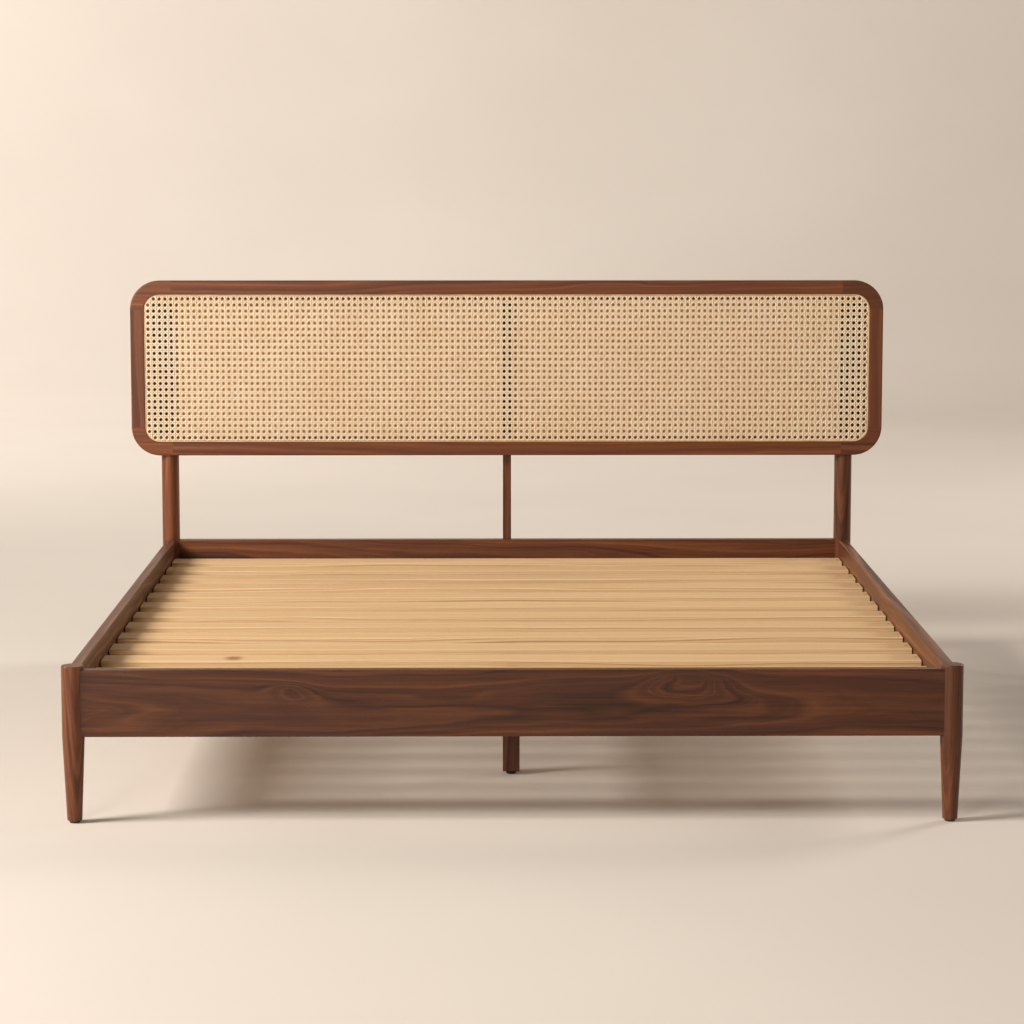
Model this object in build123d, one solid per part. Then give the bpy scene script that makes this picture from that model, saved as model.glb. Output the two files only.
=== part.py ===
from build123d import *
import os
from math import sqrt

os.makedirs("parts", exist_ok=True)

# A king-size walnut bed frame with a cane-panelled headboard, in millimetres.
# +X is to the right seen from the foot of the bed, +Y runs from the foot to the head, +Z is up.
# The origin is on the floor, under the middle of the frame.

# The well that holds the mattress
MATTRESS_WIDTH = 1930
MATTRESS_LENGTH = 2032
SIDE_GAP = 17.5
END_GAP = 11
WELL_X = MATTRESS_WIDTH / 2 + SIDE_GAP
WELL_Y = MATTRESS_LENGTH / 2 + END_GAP

# Rails
RAIL_BOTTOM = 200
RAIL_HEIGHT = 153
RAIL_TOP = RAIL_BOTTOM + RAIL_HEIGHT
SIDE_RAIL_THICK = 25
END_RAIL_THICK = 30
RAIL_EDGE = 2

# Round legs, straight beside the rails and tapered below them
LEG_RADIUS = 25.5
LEG_FOOT_RADIUS = 17
LEG_TOP = 362
LEG_TOP_EDGE = 2.5
LEG_FOOT_CHAMFER = 2
LEG_X = WELL_X + SIDE_RAIL_THICK / 2
LEG_Y = WELL_Y + 13
COPE_GAP = 0.2
LEG_GLIDE_RADIUS = 12
LEG_GLIDE_HEIGHT = 5
GLIDE_NAIL_RADIUS = 1.5
GLIDE_NAIL_LENGTH = 15

# Headboard frame: the face seen from the front, a groove for the cane's spline, then a ledge behind the cane
HEAD_WIDTH = 2208
HEAD_HEIGHT = 514
HEAD_BOTTOM = 607
HEAD_TOP = HEAD_BOTTOM + HEAD_HEIGHT
HEAD_MIDDLE = HEAD_BOTTOM + HEAD_HEIGHT / 2
HEAD_FRONT = 1006
HEAD_THICK = 36
HEAD_BACK = HEAD_FRONT + HEAD_THICK
HEAD_EDGE = 4
LIP_EDGE = 1.5
FACE_WIDTH = 40
GROOVE_WIDTH = 4
GROOVE_DEPTH = 6
LEDGE_WIDTH = 10
LEDGE_FRONT = HEAD_FRONT + 4
GROOVE_INSET = FACE_WIDTH + GROOVE_WIDTH
OPENING_INSET = GROOVE_INSET + LEDGE_WIDTH
CORNER_RADIUS = 84
CORNER_LENGTH = 120
CORNER_DROP = 84

# Cane and its spline
CANE_THICK = 1.6
SPLINE_PLAY = 0.2
SPLINE_PROUD = 2.4
SPLINE_EDGE = 1.6

# Uprights and back panel behind the cane, and the rear posts and strut outside them
BATTEN_WIDTH = 62
BATTEN_X = 1009
BATTEN_FRONT = LEDGE_FRONT + 7
BATTEN_INSET = OPENING_INSET - 8
PANEL_FRONT = LEDGE_FRONT + 20
PANEL_THICK = 4
PANEL_PLAY = 0.5
PANEL_SCREW_COLUMNS = 8
STRUT_WIDTH = 24
STRUT_THICK = 20
STRUT_BOTTOM = 215
STRUT_TOP = HEAD_TOP - 12
POST_TOP = HEAD_TOP - 9

# Slat deck
SLAT_COUNT = 13
SLAT_WIDTH = 85
SLAT_THICK = 20
SLAT_LENGTH = 2 * WELL_X - 6
SLAT_EDGE = 3
DECK_TOP = 303
SLAT_BOTTOM = DECK_TOP - SLAT_THICK
SLAT_PITCH = 2 * WELL_Y / SLAT_COUNT
LEDGER_WIDTH = 22
LEDGER_HEIGHT = 25
LEDGER_END = 1008

# Centre beam, its hangers and its legs
BEAM_WIDTH = 35
BEAM_HEIGHT = 65
BEAM_BOTTOM = SLAT_BOTTOM - BEAM_HEIGHT
HANGER_STEEL = 2.5
HANGER_DEPTH = 45
HANGER_FLANGE = 24
HANGER_TOP = BEAM_BOTTOM + 57
CENTRE_LEG_WIDTH = 41
CENTRE_LEG_BOTTOM = 8.3
CENTRE_LEG_SPACING = 540
CENTRE_LEG_EDGE = 2

# Levelling glides: a pad that stays still on the floor and a threaded stem that turns in it
PAD_RADIUS = 12
PAD_HEIGHT = 5.2
PAD_EDGE = 1.2
SOCKET_FLOOR = 1.6
SOCKET_RADIUS = 4.58
STEM_FOOT_RADIUS = 4.5
STEM_FOOT_BOTTOM = 1.7
HEX_BOTTOM = 5.4
HEX_TOP = 7.9
HEX_FLATS = 13
STEM_TOP = 36
THREAD_RADIUS = 4
THREAD_ROOT_RADIUS = 3.4
THREAD_PITCH = 1.25
STEM_BORE_RADIUS = 4.6

# Corner brackets
BRACKET_STEEL = 3
BRACKET_REACH = 70
BRACKET_WING = 35
BRACKET_BOTTOM = 203
BRACKET_TOP = 255

# Fasteners
DOWEL_RADIUS = 5
DOWEL_LENGTH = 40
DOWEL_CHAMFER = 1
DOWEL_DEPTH_IN_LEG = 17.5
HOLE_PLAY = 0.15
INSERT_RADIUS = 6
INSERT_BORE_RADIUS = 4.06
INSERT_LENGTH = 13
BOLT_RADIUS = 4
BOLT_HOLE_RADIUS = 4.4
BRACKET_BOLT_LENGTH = 58
BRACKET_BOLT_FLATS = 13
BOLT_FLANGE_RADIUS = 9
HEAD_BOLT_SEAT = 1057
HEAD_BOLT_LENGTH = 27
HEAD_BOLT_INSET = 21
HEAD_BOLT_HEAD_RADIUS = 8
COUNTERBORE_RADIUS = 9.5
SCREW_RADIUS = 2.2
SCREW_HEAD_RADIUS = 4.5
SCREW_LENGTH = 32
SCREW_SLOT = 1.1
PAN_HEAD_HEIGHT = 2.6
PAN_SCREW_LENGTH = 18

BRACKET_BOLT_HEIGHTS = (216, 242)
RAIL_DOWEL_HEIGHTS = (268, 332)
FRAME_DOWEL_INSETS = (12, 34)
FRAME_DOWEL_Y = HEAD_FRONT + 14
HANGER_SCREW_HEIGHTS = (232, 262)
STRUT_SCREW_HEIGHTS = (240, 320, HEAD_BOTTOM + 21, HEAD_TOP - 21)

SIDES = {"left": -1, "right": 1}
BATTENS = {"left": (-BATTEN_X, BATTEN_WIDTH), "middle": (0, STRUT_WIDTH), "right": (BATTEN_X, BATTEN_WIDTH)}
CORNERS = {"front_left": (-1, -1), "front_right": (1, -1), "rear_left": (-1, 1), "rear_right": (1, 1)}
BOTTOM = (Align.CENTER, Align.CENTER, Align.MIN)
MARGIN = 5


def block(x0, x1, y0, y1, z0, z1):
    """A box between two opposite corners."""
    centre = ((x0 + x1) / 2, (y0 + y1) / 2, (z0 + z1) / 2)
    return Pos(*centre) * Box(x1 - x0, y1 - y0, z1 - z0)


def along(start, direction, shape):
    """Move a shape that stands on the XY plane to start, with its +Z along direction."""
    return Plane(origin=start, z_dir=direction) * shape


def rod(start, direction, length, radius):
    """A round bar from start, along direction."""
    return along(start, direction, Cylinder(radius, length, align=BOTTOM))


def mirrored(shape, side_x, side_y=1):
    """Copy a shape drawn for the +X, +Y corner to another corner."""
    if side_x < 0:
        shape = mirror(shape, about=Plane.YZ)
    if side_y < 0:
        shape = mirror(shape, about=Plane.XZ)
    return shape


def boxes_meet(first, second):
    """True where the bounding boxes of two shapes overlap."""
    a = first.bounding_box()
    b = second.bounding_box()
    return (
        a.min.X < b.max.X and b.min.X < a.max.X
        and a.min.Y < b.max.Y and b.min.Y < a.max.Y
        and a.min.Z < b.max.Z and b.min.Z < a.max.Z
    )


def drilled(piece, holes):
    """Cut every hole that reaches a piece."""
    for hole in holes:
        if boxes_meet(piece, hole):
            piece = piece - hole
    return piece


def save(name, solids):
    """Write one node."""
    export_step(Compound(children=list(solids)), f"parts/{name}.step")


# ---------------------------------------------------------------- dowels


def frame_dowel_places():
    """Start and direction of the dowels in the headboard's eight frame joints."""
    joint_x = HEAD_WIDTH / 2 - CORNER_LENGTH
    places = []
    for side in SIDES.values():
        for inset in FRAME_DOWEL_INSETS:
            start_x = side * (joint_x - DOWEL_LENGTH / 2)
            for height in (HEAD_BOTTOM + inset, HEAD_TOP - inset):
                places.append(((start_x, FRAME_DOWEL_Y, height), (side, 0, 0)))
            x = side * (HEAD_WIDTH / 2 - inset)
            for joint_z in (HEAD_BOTTOM + CORNER_DROP, HEAD_TOP - CORNER_DROP):
                places.append(((x, FRAME_DOWEL_Y, joint_z - DOWEL_LENGTH / 2), (0, 0, 1)))
    return places


def rail_dowel_places():
    """Start and direction of the dowels between the legs and the rails."""
    start = LEG_RADIUS - DOWEL_DEPTH_IN_LEG
    end_rail_y = WELL_Y + END_RAIL_THICK / 2
    places = []
    for side_x, side_y in CORNERS.values():
        for height in RAIL_DOWEL_HEIGHTS:
            places.append(((side_x * (LEG_X - start), side_y * end_rail_y, height), (-side_x, 0, 0)))
            places.append(((side_x * LEG_X, side_y * (LEG_Y - start), height), (0, -side_y, 0)))
    return places


def centre_leg_positions():
    """Y of each centre leg, from the foot to the head."""
    return {"foot": -CENTRE_LEG_SPACING, "middle": 0, "head": CENTRE_LEG_SPACING}


def centre_leg_dowel_places():
    """Start and direction of the dowels between the centre legs and the beam."""
    start_z = BEAM_BOTTOM - DOWEL_LENGTH / 2
    places = []
    for y in centre_leg_positions().values():
        for step in (-1, 1):
            places.append(((0, y + step * CENTRE_LEG_WIDTH / 4, start_z), (0, 0, 1)))
    return places


def dowel():
    """One dowel, standing on the XY plane, with chamfered ends."""
    pin = Cylinder(DOWEL_RADIUS, DOWEL_LENGTH, align=BOTTOM)
    return chamfer(pin.edges().filter_by(GeomType.CIRCLE), DOWEL_CHAMFER)


def dowel_hole(start, direction):
    """The hole for a dowel, a little longer than it at each end."""
    unit = Vector(*direction).normalized()
    return rod(Vector(*start) - unit, direction, DOWEL_LENGTH + 2, DOWEL_RADIUS + HOLE_PLAY)


# ---------------------------------------------------------------- bolts and threaded inserts


def bracket_bolt_places():
    """Where each bracket bolt's head seats, its direction, and where it enters its leg."""
    plate_sum = WELL_X + WELL_Y - BRACKET_REACH
    seat_distance = (LEG_X + LEG_Y - plate_sum) / sqrt(2) + BRACKET_STEEL
    places = []
    for side_x, side_y in CORNERS.values():
        leg = Vector(side_x * LEG_X, side_y * LEG_Y, 0)
        outward = Vector(side_x, side_y, 0).normalized()
        for height in BRACKET_BOLT_HEIGHTS:
            level = Vector(0, 0, height)
            seat = leg - outward * seat_distance + level
            mouth = leg - outward * (LEG_RADIUS - 1) + level
            places.append((seat, outward, mouth))
    return places


def head_bolt_places():
    """Where each headboard bolt's head seats in its post, its direction, and its insert's mouth."""
    heights = (HEAD_BOTTOM + HEAD_BOLT_INSET, HEAD_TOP - HEAD_BOLT_INSET)
    places = []
    for side in SIDES.values():
        for height in heights:
            seat = Vector(side * LEG_X, HEAD_BOLT_SEAT, height)
            mouth = Vector(side * LEG_X, HEAD_BACK, height)
            places.append((seat, Vector(0, -1, 0), mouth))
    return places


def glide_insert_places():
    """Mouth and direction of the threaded insert under each centre leg."""
    return [(Vector(0, y, CENTRE_LEG_BOTTOM), Vector(0, 0, 1)) for y in centre_leg_positions().values()]


def insert_places():
    """Mouth and direction of every threaded insert."""
    bolted = bracket_bolt_places() + head_bolt_places()
    return [(mouth, direction) for seat, direction, mouth in bolted] + glide_insert_places()


def threaded_insert():
    """One threaded insert: a sleeve with a smooth bore."""
    sleeve = Cylinder(INSERT_RADIUS, INSERT_LENGTH, align=BOTTOM)
    return sleeve - Cylinder(INSERT_BORE_RADIUS, INSERT_LENGTH, align=BOTTOM)


def insert_hole(mouth, direction):
    """The pocket for a threaded insert, open past its mouth, so that it clears a round surface."""
    start = mouth - direction * MARGIN
    return rod(start, direction, INSERT_LENGTH + MARGIN, INSERT_RADIUS + HOLE_PLAY)


def bracket_bolt():
    """A flanged hexagon bolt. Its seat is on the XY plane and its shank points up."""
    flange = Pos(0, 0, -1.5) * Cylinder(BOLT_FLANGE_RADIUS, 1.5, align=BOTTOM)
    hexagon = RegularPolygon(BRACKET_BOLT_FLATS / 2, 6, major_radius=False)
    head = Pos(0, 0, -7) * extrude(hexagon, 7)
    shank = Cylinder(BOLT_RADIUS, BRACKET_BOLT_LENGTH, align=BOTTOM)
    return flange + head + shank


def head_bolt():
    """A button-head bolt with a hexagon socket. Its seat is on the XY plane and its shank points up."""
    head = Pos(0, 0, -4.5) * Cylinder(HEAD_BOLT_HEAD_RADIUS, 4.5, align=BOTTOM)
    head = fillet(head.edges().sort_by(Axis.Z)[0], 3)
    socket = Pos(0, 0, -4.5) * extrude(RegularPolygon(2.5, 6, major_radius=False), 2.5)
    shank = Cylinder(BOLT_RADIUS, HEAD_BOLT_LENGTH, align=BOTTOM)
    return head - socket + shank


def bolt_holes():
    """Clearance for the bolts through the brackets, the legs and the posts, and past each insert."""
    holes = []
    for seat, direction, mouth in bracket_bolt_places():
        start = seat - direction * MARGIN
        holes.append(rod(start, direction, BRACKET_BOLT_LENGTH + 2 * MARGIN, BOLT_HOLE_RADIUS))
    for seat, direction, mouth in head_bolt_places():
        holes.append(rod(seat, direction, HEAD_BOLT_LENGTH + 1, BOLT_HOLE_RADIUS))
        holes.append(rod(seat, -direction, LEG_RADIUS, COUNTERBORE_RADIUS))
    return holes


# ---------------------------------------------------------------- wood screws


def slat_positions():
    """Y of each slat's centre line."""
    return [-WELL_Y + SLAT_PITCH * (index + 0.5) for index in range(SLAT_COUNT)]


def slat_screw_places():
    """Head and direction of the screws that hold the slats down on the ledgers."""
    screw_x = WELL_X - LEDGER_WIDTH / 2
    heads = [(side * screw_x, y, DECK_TOP) for side in SIDES.values() for y in slat_positions()]
    return [(Vector(*head), Vector(0, 0, -1)) for head in heads]


def ledger_screw_places():
    """Head and direction of the screws between the slats that hold the ledgers to the side rails."""
    height = SLAT_BOTTOM - LEDGER_HEIGHT / 2
    places = []
    for side in SIDES.values():
        for y in slat_positions()[:-1]:
            head = Vector(side * (WELL_X - LEDGER_WIDTH), y + SLAT_PITCH / 2, height)
            places.append((head, Vector(side, 0, 0)))
    return places


def strut_screw_places():
    """Head and direction of the screws through the centre strut, from behind."""
    back = HEAD_BACK + STRUT_THICK
    return [(Vector(0, back, height), Vector(0, -1, 0)) for height in STRUT_SCREW_HEIGHTS]


def wood_screw(grow=0.0):
    """A countersunk screw. Its head is flush with the XY plane and its point is up; grow widens it."""
    neck = SCREW_HEAD_RADIUS - SCREW_RADIUS
    head = Cone(SCREW_HEAD_RADIUS + grow, SCREW_RADIUS + grow, neck, align=BOTTOM)
    shank = Cylinder(SCREW_RADIUS + grow, SCREW_LENGTH - neck, align=BOTTOM)
    point = Pos(0, 0, SCREW_LENGTH - neck) * Cone(SCREW_RADIUS + grow, 0.3 + grow, neck, align=BOTTOM)
    return head + shank + point


def cross_slot():
    """The cross recess in a screw's head."""
    bar = Box(SCREW_HEAD_RADIUS * 1.2, SCREW_SLOT, SCREW_RADIUS * 1.4)
    return bar + Rot(0, 0, 90) * bar


def screw_holes(places):
    """The countersunk holes for a list of screws."""
    return [along(head, direction, wood_screw(HOLE_PLAY)) for head, direction in places]


# ---------------------------------------------------------------- pan-head screws


def panel_screw_places():
    """Seat and direction of the pan-head screws round the edge of the headboard's back panel."""
    inset = (GROOVE_INSET + OPENING_INSET) / 2
    back = PANEL_FRONT + PANEL_THICK
    reach = HEAD_WIDTH / 2 - CORNER_LENGTH
    step = 2 * reach / PANEL_SCREW_COLUMNS
    points = []
    for column in range(PANEL_SCREW_COLUMNS):
        x = -reach + step * (column + 0.5)
        points += [(x, HEAD_BOTTOM + inset), (x, HEAD_TOP - inset)]
    points += [(side * (HEAD_WIDTH / 2 - inset), HEAD_MIDDLE) for side in SIDES.values()]
    return [(Vector(x, back, height), Vector(0, -1, 0)) for x, height in points]


def bracket_screw_places():
    """Seat and direction of the pan-head screws in the corner brackets and the beam hangers."""
    middle = BRACKET_REACH + BRACKET_WING * 0.55
    places = []
    for side_x, side_y in CORNERS.values():
        for height in BRACKET_BOLT_HEIGHTS:
            on_side_rail = Vector(side_x * (WELL_X - BRACKET_STEEL), side_y * (WELL_Y - middle), height)
            on_end_rail = Vector(side_x * (WELL_X - middle), side_y * (WELL_Y - BRACKET_STEEL), height)
            places.append((on_side_rail, Vector(side_x, 0, 0)))
            places.append((on_end_rail, Vector(0, side_y, 0)))
    flange_x = BEAM_WIDTH / 2 + HANGER_STEEL + HANGER_FLANGE / 2
    for side_x, side_y in CORNERS.values():
        for height in HANGER_SCREW_HEIGHTS:
            seat = Vector(side_x * flange_x, side_y * (WELL_Y - HANGER_STEEL), height)
            places.append((seat, Vector(0, side_y, 0)))
    return places


def pan_screw():
    """A pan-head screw. Its seat is on the XY plane and its point is up."""
    head = Pos(0, 0, -PAN_HEAD_HEIGHT) * Cylinder(SCREW_HEAD_RADIUS, PAN_HEAD_HEIGHT, align=BOTTOM)
    head = fillet(head.edges().sort_by(Axis.Z)[0], PAN_HEAD_HEIGHT * 0.7)
    head = head - Pos(0, 0, -PAN_HEAD_HEIGHT) * cross_slot()
    shank = Cylinder(SCREW_RADIUS, PAN_SCREW_LENGTH - 3, align=BOTTOM)
    point = Pos(0, 0, PAN_SCREW_LENGTH - 3) * Cone(SCREW_RADIUS, 0.3, 3, align=BOTTOM)
    return head + shank + point


def pan_screw_holes(places):
    """The holes for the pan-head screws."""
    return [rod(seat, way, PAN_SCREW_LENGTH + 1, SCREW_RADIUS + HOLE_PLAY) for seat, way in places]


# ---------------------------------------------------------------- headboard


def rounded_slab(inset, front, back):
    """A slab across the headboard with its outline set in by inset, between two depths."""
    outline = RectangleRounded(HEAD_WIDTH - 2 * inset, HEAD_HEIGHT - 2 * inset, CORNER_RADIUS - inset)
    return Pos(0, back, HEAD_MIDDLE) * Rot(90, 0, 0) * extrude(outline, back - front)


def headboard_ring():
    """The whole headboard frame, before it is divided into its members."""
    ring = rounded_slab(0, HEAD_FRONT, HEAD_BACK)
    ring = fillet(ring.faces().filter_by(Axis.Y).edges(), HEAD_EDGE)
    ring = ring - rounded_slab(FACE_WIDTH, HEAD_FRONT, LEDGE_FRONT)
    ring = ring - rounded_slab(OPENING_INSET, HEAD_FRONT, HEAD_BACK)
    groove_bottom = LEDGE_FRONT + GROOVE_DEPTH
    groove = rounded_slab(FACE_WIDTH, LEDGE_FRONT, groove_bottom)
    groove = groove - rounded_slab(GROOVE_INSET, LEDGE_FRONT, groove_bottom)
    ring = ring - groove
    ring = ring - rounded_slab(GROOVE_INSET, PANEL_FRONT, HEAD_BACK)
    lip = ring.faces().sort_by(Axis.Y)[0].inner_wires()[0]
    return fillet(lip.edges(), LIP_EDGE)


def headboard_members():
    """The frame's eight members: two rails, two stiles and four corner blocks."""
    ring = headboard_ring()
    end_x = HEAD_WIDTH / 2 + MARGIN
    joint_x = HEAD_WIDTH / 2 - CORNER_LENGTH
    low_joint = HEAD_BOTTOM + CORNER_DROP
    high_joint = HEAD_TOP - CORNER_DROP
    depth = (HEAD_FRONT - MARGIN, HEAD_BACK + MARGIN)
    rail_z = {"top": (high_joint, HEAD_TOP + MARGIN), "bottom": (HEAD_BOTTOM - MARGIN, low_joint)}
    members = {}
    for level, heights in rail_z.items():
        members[f"headboard_{level}_rail"] = ring & block(-joint_x, joint_x, *depth, *heights)
    for name, side in SIDES.items():
        span = sorted((side * joint_x, side * end_x))
        members[f"headboard_stile_{name}"] = ring & block(*span, *depth, low_joint, high_joint)
        for level, heights in rail_z.items():
            members[f"headboard_corner_{level}_{name}"] = ring & block(*span, *depth, *heights)
    return members


def batten(x, width):
    """An upright between the cane and the back panel, with its ends let into the headboard's rails."""
    bottom = HEAD_BOTTOM + BATTEN_INSET
    top = HEAD_TOP - BATTEN_INSET
    return block(x - width / 2, x + width / 2, BATTEN_FRONT, PANEL_FRONT, bottom, top)


def back_panel():
    """The thin panel in the rebate at the back of the headboard, seen through the cane."""
    return rounded_slab(GROOVE_INSET + PANEL_PLAY, PANEL_FRONT, PANEL_FRONT + PANEL_THICK)


def centre_strut():
    """The slim upright behind the middle of the headboard, down to the head rail."""
    half = STRUT_WIDTH / 2
    strut = block(-half, half, HEAD_BACK, HEAD_BACK + STRUT_THICK, STRUT_BOTTOM, STRUT_TOP)
    return fillet(strut.edges().filter_by(Axis.Z), 1.5)


def cane_panel():
    """The woven cane, as a plain sheet that lies on the ledge inside the spline."""
    return rounded_slab(GROOVE_INSET + SPLINE_PLAY, LEDGE_FRONT - CANE_THICK, LEDGE_FRONT)


def cane_spline():
    """The reed spline that wedges the cane into its groove, with a rounded front."""
    front = LEDGE_FRONT - SPLINE_PROUD
    back = LEDGE_FRONT + GROOVE_DEPTH - SPLINE_PLAY
    outer = rounded_slab(FACE_WIDTH + SPLINE_PLAY, front, back)
    spline = outer - rounded_slab(GROOVE_INSET - SPLINE_PLAY, front, back)
    return fillet(spline.faces().sort_by(Axis.Y)[0].edges(), SPLINE_EDGE)


# ---------------------------------------------------------------- legs and rails


def round_leg(top):
    """A round leg on the Z axis, tapered below the rails."""
    taper_height = RAIL_BOTTOM - LEG_GLIDE_HEIGHT
    taper = Pos(0, 0, LEG_GLIDE_HEIGHT) * Cone(LEG_FOOT_RADIUS, LEG_RADIUS, taper_height, align=BOTTOM)
    shaft = Pos(0, 0, RAIL_BOTTOM) * Cylinder(LEG_RADIUS, top - RAIL_BOTTOM, align=BOTTOM)
    leg = taper + shaft
    leg = fillet(leg.edges().filter_by(GeomType.CIRCLE).sort_by(Axis.Z)[-1], LEG_TOP_EDGE)
    leg = chamfer(leg.edges().filter_by(GeomType.CIRCLE).sort_by(Axis.Z)[0], LEG_FOOT_CHAMFER)
    nail = Pos(0, 0, LEG_GLIDE_HEIGHT) * Cylinder(
        GLIDE_NAIL_RADIUS + HOLE_PLAY, GLIDE_NAIL_LENGTH + 1, align=BOTTOM
    )
    return leg - nail


def rear_post():
    """A rear leg that carries on up behind the headboard, cut flat where it meets it."""
    notch = block(
        -LEG_RADIUS - 1, LEG_RADIUS + 1, -LEG_RADIUS - 1, HEAD_BACK - LEG_Y, HEAD_BOTTOM, POST_TOP + 1
    )
    return round_leg(POST_TOP) - notch


def leg_glide():
    """A nail-in glide under a leg, on the Z axis."""
    disc = Cylinder(LEG_GLIDE_RADIUS, LEG_GLIDE_HEIGHT, align=BOTTOM)
    disc = fillet(disc.edges().filter_by(GeomType.CIRCLE).sort_by(Axis.Z)[0], 1.5)
    nail = Cylinder(GLIDE_NAIL_RADIUS, LEG_GLIDE_HEIGHT + GLIDE_NAIL_LENGTH, align=BOTTOM)
    return disc + nail


def cope_cutters():
    """The round hollows that fit the ends of the rails to the legs."""
    cutters = []
    for side_x, side_y in CORNERS.values():
        foot = (side_x * LEG_X, side_y * LEG_Y, RAIL_BOTTOM - MARGIN)
        cutters.append(rod(foot, (0, 0, 1), RAIL_HEIGHT + 2 * MARGIN, LEG_RADIUS + COPE_GAP))
    return cutters


def end_rail(side_y):
    """The foot rail or the head rail, coped to the legs at both ends."""
    y0, y1 = sorted((side_y * WELL_Y, side_y * (WELL_Y + END_RAIL_THICK)))
    rail = block(-LEG_X, LEG_X, y0, y1, RAIL_BOTTOM, RAIL_TOP)
    rail = fillet(rail.edges().filter_by(Axis.X), RAIL_EDGE)
    return drilled(rail, cope_cutters())


def head_rail():
    """The head rail, with a housing in its back for the centre strut."""
    half = STRUT_WIDTH / 2
    back = WELL_Y + END_RAIL_THICK + 1
    return end_rail(1) - block(-half, half, HEAD_BACK, back, STRUT_BOTTOM, RAIL_TOP + 1)


def side_rail(side_x):
    """A side rail, coped to the legs at both ends."""
    x0, x1 = sorted((side_x * WELL_X, side_x * (WELL_X + SIDE_RAIL_THICK)))
    rail = block(x0, x1, -LEG_Y, LEG_Y, RAIL_BOTTOM, RAIL_TOP)
    rail = fillet(rail.edges().filter_by(Axis.Y), RAIL_EDGE)
    return drilled(rail, cope_cutters())


# ---------------------------------------------------------------- slat deck


def ledger(side_x):
    """The strip inside a side rail that the slats rest on."""
    x0, x1 = sorted((side_x * (WELL_X - LEDGER_WIDTH), side_x * WELL_X))
    return block(x0, x1, -LEDGER_END, LEDGER_END, SLAT_BOTTOM - LEDGER_HEIGHT, SLAT_BOTTOM)


def slat(y):
    """One slat across the frame, with rounded long edges."""
    half_length = SLAT_LENGTH / 2
    half_width = SLAT_WIDTH / 2
    board = block(-half_length, half_length, y - half_width, y + half_width, SLAT_BOTTOM, DECK_TOP)
    return fillet(board.edges().filter_by(Axis.X), SLAT_EDGE)


def centre_beam():
    """The beam along the middle, under the slats."""
    half = BEAM_WIDTH / 2
    end = WELL_Y - HANGER_STEEL - 0.5
    return block(-half, half, -end, end, BEAM_BOTTOM, SLAT_BOTTOM)


def beam_hanger():
    """A folded steel hanger that carries the head end of the centre beam."""
    inner = BEAM_WIDTH / 2 + HOLE_PLAY
    outer = inner + HANGER_STEEL
    seat_bottom = BEAM_BOTTOM - HANGER_STEEL
    front = WELL_Y - HANGER_DEPTH
    hanger = block(-outer, outer, front, WELL_Y, seat_bottom, HANGER_TOP)
    hanger = hanger - block(-inner, inner, front - 1, WELL_Y - HANGER_STEEL, BEAM_BOTTOM, HANGER_TOP + 1)
    flange = outer + HANGER_FLANGE
    return hanger + block(-flange, flange, WELL_Y - HANGER_STEEL, WELL_Y, seat_bottom, HANGER_TOP)


def centre_leg(y):
    """One square leg under the beam, bored for its glide's stem."""
    half = CENTRE_LEG_WIDTH / 2
    leg = block(-half, half, y - half, y + half, CENTRE_LEG_BOTTOM, BEAM_BOTTOM)
    leg = fillet(leg.edges().filter_by(Axis.Z), CENTRE_LEG_EDGE)
    leg = chamfer(leg.faces().sort_by(Axis.Z)[0].edges(), CENTRE_LEG_EDGE * 0.6)
    return leg - rod((0, y, CENTRE_LEG_BOTTOM), (0, 0, 1), STEM_TOP, STEM_BORE_RADIUS)


def corner_bracket():
    """The folded steel bracket inside the +X, +Y corner."""
    fold = BRACKET_STEEL * (sqrt(2) - 1)
    side_y = WELL_Y - BRACKET_REACH
    end_x = WELL_X - BRACKET_REACH
    outline = Polyline(
        (WELL_X, side_y - BRACKET_WING),
        (WELL_X, side_y),
        (end_x, WELL_Y),
        (end_x - BRACKET_WING, WELL_Y),
        (end_x - BRACKET_WING, WELL_Y - BRACKET_STEEL),
        (end_x - fold, WELL_Y - BRACKET_STEEL),
        (WELL_X - BRACKET_STEEL, side_y - fold),
        (WELL_X - BRACKET_STEEL, side_y - BRACKET_WING),
        close=True,
    )
    return Pos(0, 0, BRACKET_BOTTOM) * extrude(make_face(outline), BRACKET_TOP - BRACKET_BOTTOM)


# ---------------------------------------------------------------- levelling glides


def glide_pad(y):
    """The pad of a levelling glide, with a socket for the stem's foot."""
    pad = Cylinder(PAD_RADIUS, PAD_HEIGHT, align=BOTTOM)
    pad = fillet(pad.edges().filter_by(GeomType.CIRCLE), PAD_EDGE)
    socket = Pos(0, 0, SOCKET_FLOOR) * Cylinder(SOCKET_RADIUS, PAD_HEIGHT, align=BOTTOM)
    return Pos(0, y, 0) * (pad - socket)


def glide_stem(y):
    """The stem of a levelling glide: a foot in the pad, a hexagon for a spanner and a ridged thread."""
    thread_turns = int((STEM_TOP - HEX_TOP) / THREAD_PITCH)
    outline = [(0, STEM_FOOT_BOTTOM), (STEM_FOOT_RADIUS, STEM_FOOT_BOTTOM), (STEM_FOOT_RADIUS, HEX_TOP)]
    for turn in range(thread_turns):
        root = HEX_TOP + turn * THREAD_PITCH
        outline.append((THREAD_ROOT_RADIUS, root))
        outline.append((THREAD_RADIUS, root + THREAD_PITCH * 0.45))
        outline.append((THREAD_RADIUS, root + THREAD_PITCH * 0.6))
    top = HEX_TOP + thread_turns * THREAD_PITCH
    outline.append((THREAD_ROOT_RADIUS, top))
    outline.append((0, top))
    profile = Plane.XZ * make_face(Polyline(*outline, close=True))
    hexagon = RegularPolygon(HEX_FLATS / 2, 6, major_radius=False)
    stem = revolve(profile, Axis.Z) + Pos(0, 0, HEX_BOTTOM) * extrude(hexagon, HEX_TOP - HEX_BOTTOM)
    return Pos(0, y, 0) * stem


# ---------------------------------------------------------------- assembly


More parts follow.
